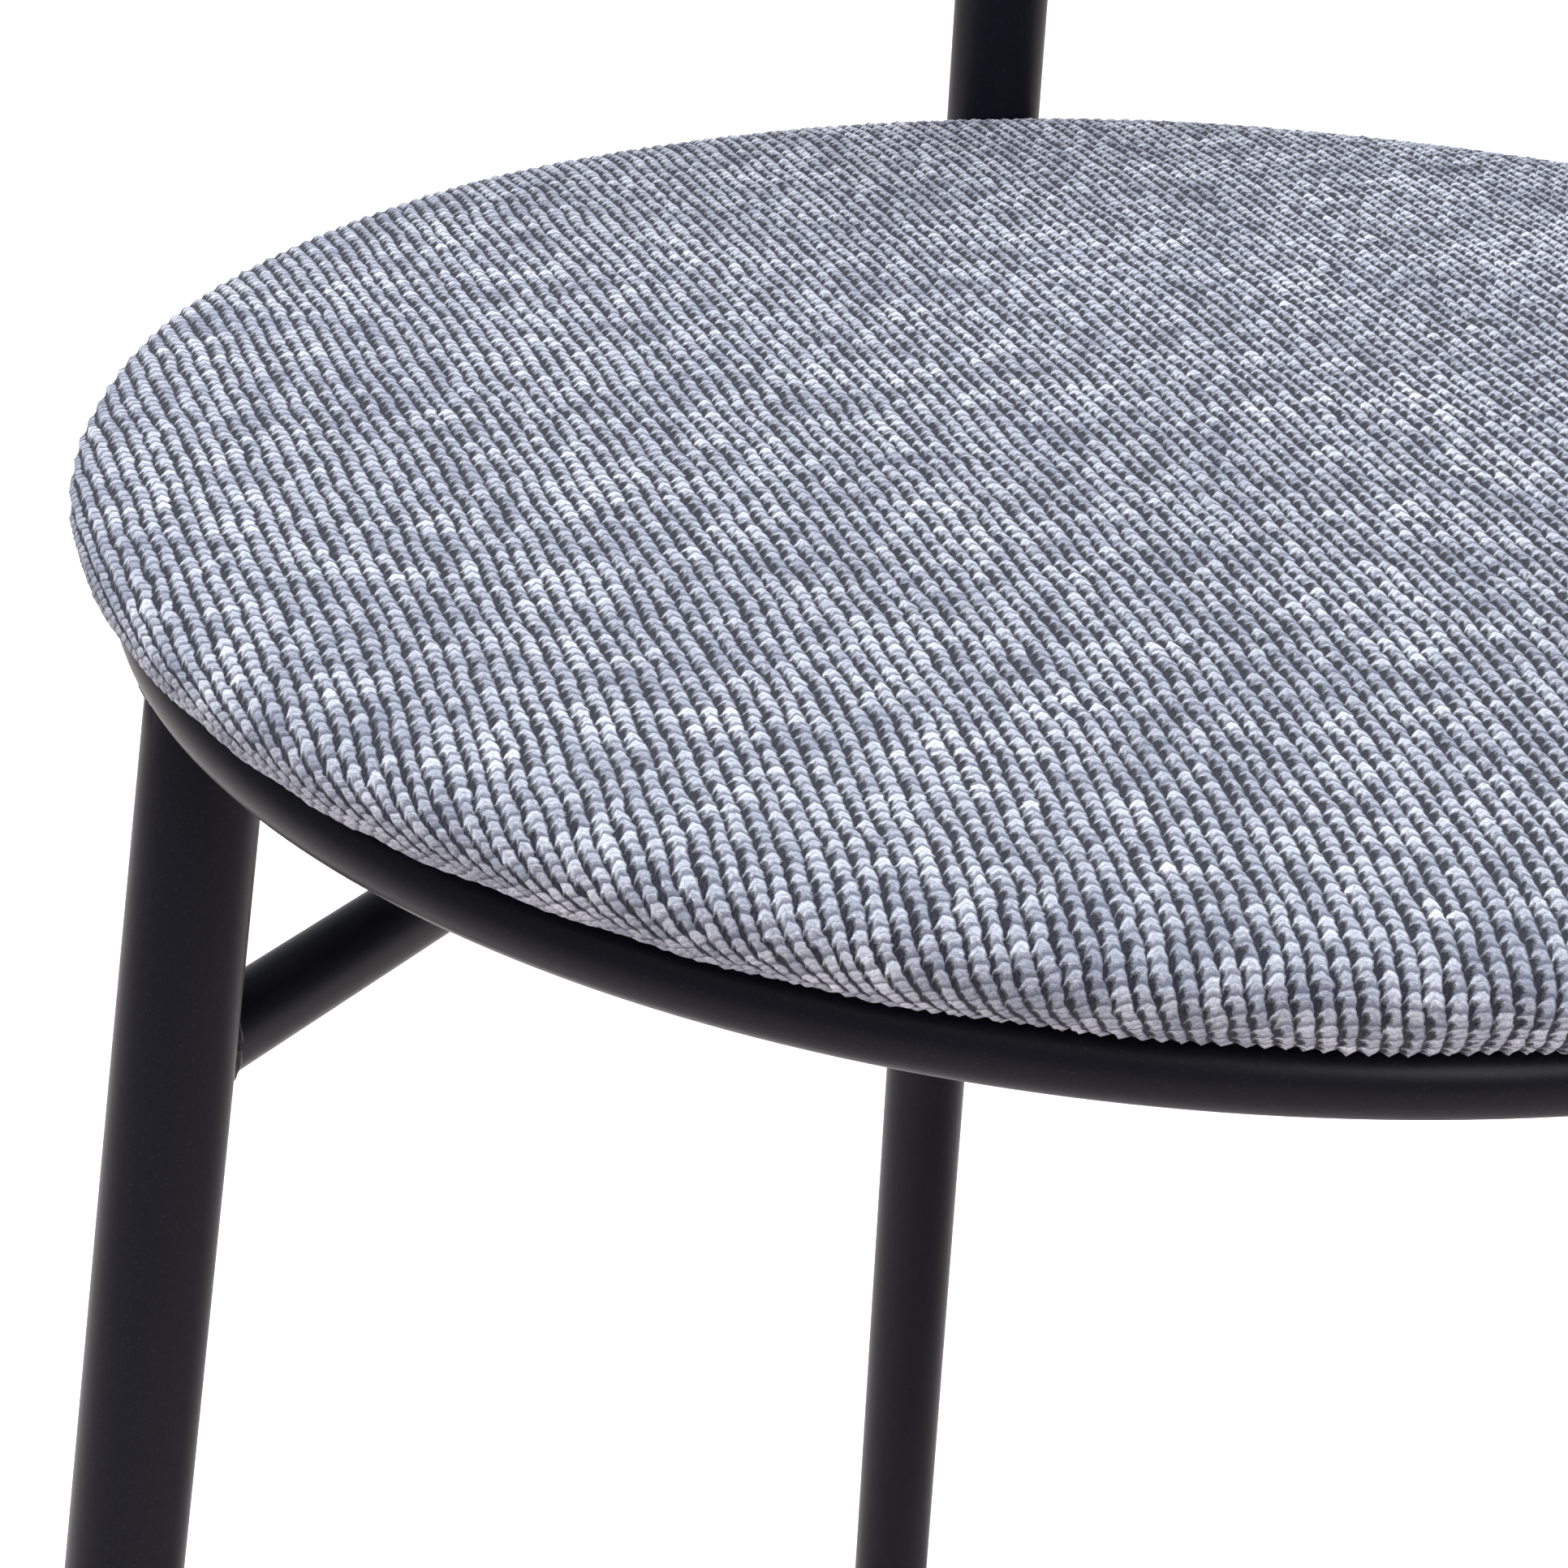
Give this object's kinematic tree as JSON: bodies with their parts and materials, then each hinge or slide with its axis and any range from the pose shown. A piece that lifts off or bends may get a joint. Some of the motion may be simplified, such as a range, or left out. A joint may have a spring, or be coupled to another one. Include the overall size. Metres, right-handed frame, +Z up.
{
  "type": "dining chair",
  "caption": "Round upholstered seat on a black steel ring, two splayed front legs, and a rear post that carries a curved upholstered backrest.",
  "frame": {"origin": "on the floor, under the middle of the chair's bounding box", "axes": "+Z up, +Y towards the backrest, +X to the right seen from the front"},
  "size_m": [0.5184, 0.4932, 0.8203],
  "materials": {
    "frame_steel": "matt fine-textured powder coat",
    "seat_fabric": "coarse diagonal twill in pale blue-grey over navy",
    "foam": "open-cell upholstery foam",
    "plywood": "sanded birch plywood",
    "liner": "black spun-bonded liner",
    "zinc_fastener": "zinc plated",
    "plastic": "moulded, matt black"
  },
  "bodies": {
    "root": {"back_bracket": "frame_steel", "back_cover": "seat_fabric", "back_foam": "foam", "back_panel": "plywood", "back_screw_lower_left": "zinc_fastener", "back_screw_lower_right": "zinc_fastener", "back_screw_upper_left": "zinc_fastener", "back_screw_upper_right": "zinc_fastener", "back_tee_nut_lower_left": "zinc_fastener", "back_tee_nut_lower_right": "zinc_fastener", "back_tee_nut_upper_left": "zinc_fastener", "back_tee_nut_upper_right": "zinc_fastener", "front_leg_left": "frame_steel", "front_leg_right": "frame_steel", "glide_front_left": "plastic", "glide_front_right": "plastic", "glide_rear": "plastic", "post_cap": "plastic", "rear_post": "frame_steel", "seat_board": "plywood", "seat_cover": "seat_fabric", "seat_foam": "foam", "seat_liner": "liner", "seat_ring": "frame_steel", "seat_screw_front_left": "zinc_fastener", "seat_screw_front_right": "zinc_fastener", "seat_screw_rear_left": "zinc_fastener", "seat_screw_rear_right": "zinc_fastener", "seat_tab_front_left": "frame_steel", "seat_tab_front_right": "frame_steel", "seat_tab_rear_left": "frame_steel", "seat_tab_rear_right": "frame_steel", "seat_tee_nut_front_left": "zinc_fastener", "seat_tee_nut_front_right": "zinc_fastener", "seat_tee_nut_rear_left": "zinc_fastener", "seat_tee_nut_rear_right": "zinc_fastener", "seat_washer_front_left": "zinc_fastener", "seat_washer_front_right": "zinc_fastener", "seat_washer_rear_left": "zinc_fastener", "seat_washer_rear_right": "zinc_fastener", "stretcher_left": "frame_steel", "stretcher_right": "frame_steel"}
  },
  "joints": []
}
